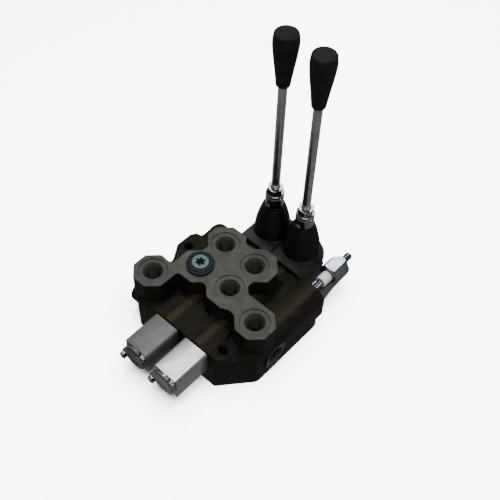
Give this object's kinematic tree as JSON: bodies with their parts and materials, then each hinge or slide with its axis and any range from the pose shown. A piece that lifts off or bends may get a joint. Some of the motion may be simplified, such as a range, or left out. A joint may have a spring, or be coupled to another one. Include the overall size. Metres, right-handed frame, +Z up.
{
  "type": "hydraulic monoblock valve",
  "caption": "Cast hydraulic monoblock directional valve with rocking hand levers, bellows, spring-centred spools, spring caps, threaded ports and a relief valve.",
  "frame": {"origin": "on the underside, midway between the two spool axes and level with the middle of the work ports", "axes": "+X from spool 1 to spool 2, +Y along the spools towards the levers, +Z up along the levers at rest"},
  "size_m": [0.1825, 0.2783, 0.356],
  "materials": {
    "black_casting": "phosphated cast iron, satin, with machined grey port faces",
    "grey_casting": "dark grey cast iron, satin",
    "aluminium": "satin die-cast aluminium",
    "zinc_steel": "bright zinc-plated steel",
    "plug_zinc": "blue-white zinc plating",
    "dull_zinc": "dull zinc plating",
    "bright_steel": "ground steel",
    "rod_chrome": "bright plated rod",
    "spring_steel": "oiled spring steel",
    "black_rubber": "matt black rubber",
    "black_plastic": "satin black moulded plastic",
    "white_nylon": "white moulded nylon"
  },
  "bodies": {
    "valve_body": {"body_casting": "black_casting", "port_plug": "plug_zinc", "port_plug_seal": "plug_zinc", "relief_sleeve": "zinc_steel", "relief_spring": "spring_steel", "relief_collar": "white_nylon", "relief_lock_nut": "zinc_steel", "relief_jam_nut": "zinc_steel", "carry_over_plug": "dull_zinc", "back_pressure_spring": "spring_steel", "spool_1_front_seal": "black_rubber", "spool_1_back_seal": "black_rubber", "spring_cap_1": "aluminium", "spring_seat_inner_1": "zinc_steel", "centring_spring_1": "spring_steel", "lever_box_1": "grey_casting", "pivot_pin_1": "bright_steel", "bellows_1": "black_rubber", "spool_2_front_seal": "black_rubber", "spool_2_back_seal": "black_rubber", "spring_cap_2": "aluminium", "spring_seat_inner_2": "zinc_steel", "centring_spring_2": "spring_steel", "lever_box_2": "grey_casting", "pivot_pin_2": "bright_steel", "bellows_2": "black_rubber", "spring_cap_screw_1": "zinc_steel", "lever_box_screw_1": "zinc_steel", "spring_cap_screw_2": "zinc_steel", "lever_box_screw_2": "zinc_steel", "spring_cap_screw_3": "zinc_steel", "lever_box_screw_3": "zinc_steel", "spring_cap_screw_4": "zinc_steel", "lever_box_screw_4": "zinc_steel"},
    "lever_1": {"lever_hub_1": "zinc_steel", "hub_set_screw_1": "zinc_steel", "lever_rod_1": "rod_chrome", "lever_lock_nut_1": "zinc_steel", "knob_1": "black_plastic"},
    "spool_1_set": {"spool_1": "bright_steel", "spool_stop_bolt_1": "zinc_steel", "spring_seat_outer_1": "zinc_steel"},
    "lever_2": {"lever_hub_2": "zinc_steel", "hub_set_screw_2": "zinc_steel", "lever_rod_2": "rod_chrome", "lever_lock_nut_2": "zinc_steel", "knob_2": "black_plastic"},
    "spool_2_set": {"spool_2": "bright_steel", "spool_stop_bolt_2": "zinc_steel", "spring_seat_outer_2": "zinc_steel"},
    "relief_screw": {"relief_adjusting_screw": "zinc_steel"},
    "relief_poppet_set": {"relief_poppet": "bright_steel"},
    "back_pressure_set": {"back_pressure_poppet": "bright_steel"}
  },
  "joints": [
    {"name": "lever_1_rock", "type": "hinge", "parent": "valve_body", "child": "lever_1", "pos_m": [-0.023, 0.0885, 0.062], "axis": [1, 0, 0], "range_deg": [-18, 18], "stiffness_Nm_per_rad": 6, "deforming": ["bellows_1"]},
    {"name": "spool_1_slide", "type": "slide", "parent": "valve_body", "child": "spool_1_set", "axis": [0, 1, 0], "range_m": [-0.006, 0.006], "deforming": ["centring_spring_1"]},
    {"name": "lever_2_rock", "type": "hinge", "parent": "valve_body", "child": "lever_2", "pos_m": [0.023, 0.0885, 0.062], "axis": [1, 0, 0], "range_deg": [-18, 18], "stiffness_Nm_per_rad": 6, "deforming": ["bellows_2"]},
    {"name": "spool_2_slide", "type": "slide", "parent": "valve_body", "child": "spool_2_set", "axis": [0, 1, 0], "range_m": [-0.006, 0.006], "deforming": ["centring_spring_2"]},
    {"name": "relief_screw_turn", "type": "hinge", "parent": "valve_body", "child": "relief_screw", "pos_m": [0.0655, 0.036, 0.0512], "axis": [0, 1, 0], "range_deg": [-360, 360]},
    {"name": "relief_poppet_lift", "type": "slide", "parent": "valve_body", "child": "relief_poppet_set", "axis": [0, 1, 0], "range_m": [0, 0.0015], "stiffness_N_per_m": 2000, "springref_m": -0.002, "deforming": ["relief_spring"]},
    {"name": "back_pressure_lift", "type": "slide", "parent": "valve_body", "child": "back_pressure_set", "axis": [0, 1, 0], "range_m": [0, 0.005], "stiffness_N_per_m": 800, "springref_m": -0.002, "deforming": ["back_pressure_spring"]}
  ],
  "couplings": [
    {"joint": "spool_1_slide", "follows": "lever_1_rock", "m_per_rad": 0.0185},
    {"joint": "spool_2_slide", "follows": "lever_2_rock", "m_per_rad": 0.0185}
  ]
}
